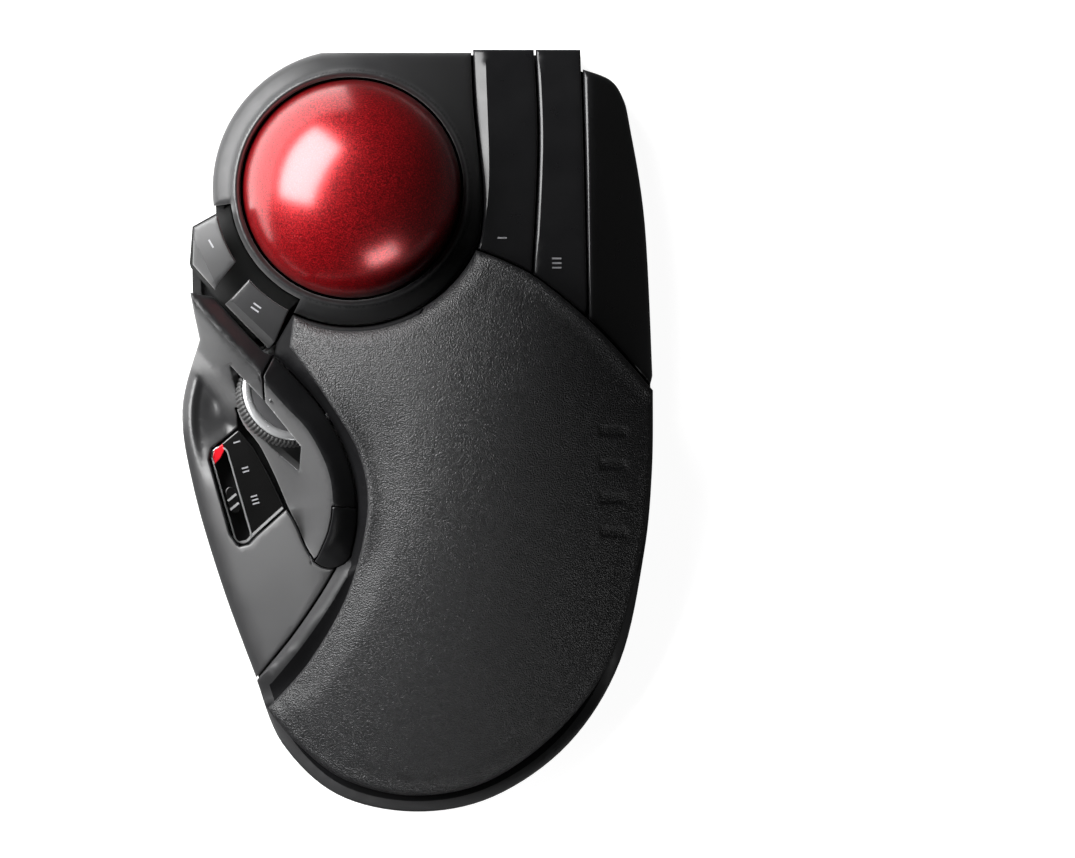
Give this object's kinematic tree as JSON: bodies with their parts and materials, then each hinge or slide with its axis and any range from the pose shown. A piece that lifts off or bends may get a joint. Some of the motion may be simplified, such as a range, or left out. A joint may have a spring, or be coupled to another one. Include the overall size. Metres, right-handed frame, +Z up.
{
  "type": "trackball mouse",
  "caption": "Large right-handed wireless trackball mouse: finger-operated ball, thumb wheel, click and function keys, soft palm rest",
  "frame": {"origin": "on the desk, under the middle of the outline", "axes": "+Y towards the fingers (front), +X to the user's right, +Z up"},
  "size_m": [0.1121, 0.1814, 0.059],
  "materials": {
    "shell": "satin black moulding",
    "grip": "soft fine-grained palm rest",
    "key": "smooth satin key cap",
    "gloss": "polished black window",
    "ball": "polished deep red with fine flakes",
    "lens": "polished red lamp lens",
    "silver": "bright metallic plating",
    "steel": "plain steel",
    "rubber": "dark grey rubber",
    "board": "green circuit board",
    "part": "black inner moulding",
    "ceramic": "polished ceramic",
    "cell": "printed cell sleeve"
  },
  "bodies": {
    "case": {"bottom_case": "shell", "palm_frame": "shell", "palm_pad": "grip", "ball_bezel": "shell", "right_side_cover": "shell", "left_side_cover": "shell", "thumb_tail": "shell", "pod_tray": "part", "ball_cup": "part", "support_bead_1": "ceramic", "support_bead_2": "ceramic", "support_bead_3": "ceramic", "sensor_lens": "gloss", "sensor_board": "board", "wheel_switch": "part", "speed_window": "gloss", "speed_lamp_lens": "lens", "key_board": "board", "main_board": "board", "key_switch_1": "part", "key_switch_2": "part", "pod_switch_1": "part", "pod_switch_2": "part", "battery_tray": "part", "battery_1": "cell", "contact_spring_1": "steel", "battery_2": "cell", "contact_spring_2": "steel", "power_switch_body": "part", "foot_1": "rubber", "foot_2": "rubber", "foot_3": "rubber", "foot_4": "rubber", "foot_5": "rubber", "screw_1": "steel", "screw_2": "steel", "screw_3": "steel", "screw_4": "steel", "screw_5": "steel"},
    "ball_body": {"ball": "ball"},
    "left_button_body": {"left_button": "key"},
    "right_key_body": {"right_key": "key", "key_plunger_1": "ceramic"},
    "fn3_body": {"fn3_key": "key", "key_plunger_2": "ceramic"},
    "fn1_body": {"fn1_key": "key", "pod_plunger_1": "ceramic"},
    "fn2_body": {"fn2_key": "key", "pod_plunger_2": "ceramic"},
    "wheel_tilt_body": {"wheel_cradle": "part"},
    "wheel_press_body": {"wheel_yoke": "part", "wheel_axle": "steel"},
    "wheel_body": {"wheel_hub": "silver", "wheel_tyre": "rubber"},
    "slider_body": {"speed_slider": "silver"},
    "power_body": {"power_switch_knob": "silver"},
    "door_body": {"battery_door": "shell"}
  },
  "joints": [
    {"name": "ball_roll", "type": "hinge", "parent": "case", "child": "ball_body", "pos_m": [-0.0158, 0.0577, 0.033], "axis": [1, 0, 0], "continuous": true},
    {"name": "right_click", "type": "hinge", "parent": "case", "child": "right_key_body", "pos_m": [0.021, 0.042, 0.03], "axis": [-1, 0, 0], "range_deg": [0, 0.9], "stiffness_Nm_per_rad": 1.2, "springref_deg": -1.72},
    {"name": "fn3_click", "type": "hinge", "parent": "case", "child": "fn3_body", "pos_m": [0.034, 0.036, 0.028], "axis": [-1, 0, 0], "range_deg": [0, 0.9], "stiffness_Nm_per_rad": 1.2, "springref_deg": -1.72},
    {"name": "fn1_click", "type": "slide", "parent": "case", "child": "fn1_body", "axis": [0, 0, -1], "range_m": [0, 0.0008], "stiffness_N_per_m": 400, "springref_m": -0.0012},
    {"name": "fn2_click", "type": "slide", "parent": "case", "child": "fn2_body", "axis": [0, 0, -1], "range_m": [0, 0.0008], "stiffness_N_per_m": 400, "springref_m": -0.0012},
    {"name": "left_click", "type": "hinge", "parent": "case", "child": "left_button_body", "pos_m": [-0.024, 0.002, 0.033], "axis": [0.6606, -0.7507, 0], "range_deg": [0, 2], "stiffness_Nm_per_rad": 0.6, "springref_deg": -1.72},
    {"name": "wheel_tilt", "type": "hinge", "parent": "case", "child": "wheel_tilt_body", "pos_m": [-0.02757, 0.01182, 0.01917], "axis": [0.6606, -0.7507, 0], "range_deg": [-2.5, 2.5], "stiffness_Nm_per_rad": 0.3},
    {"name": "wheel_press", "type": "slide", "parent": "wheel_tilt_body", "child": "wheel_press_body", "axis": [0.6858, 0.6035, -0.4067], "range_m": [0, 0.0008], "stiffness_N_per_m": 500, "springref_m": -0.001},
    {"name": "wheel_spin", "type": "hinge", "parent": "wheel_press_body", "child": "wheel_body", "pos_m": [-0.031, 0.0088, 0.0212], "axis": [0.3053, 0.2687, 0.9135], "continuous": true},
    {"name": "speed_select", "type": "slide", "parent": "case", "child": "slider_body", "axis": [0.2761, -0.9611, 0], "range_m": [-0.004, 0.004]},
    {"name": "power_select", "type": "slide", "parent": "case", "child": "power_body", "axis": [1, 0, 0], "range_m": [0, 0.0035]},
    {"name": "battery_door_open", "type": "hinge", "parent": "case", "child": "door_body", "pos_m": [0.0055, -0.0565, 0.0009], "axis": [-1, 0, 0], "range_deg": [0, 80]}
  ]
}
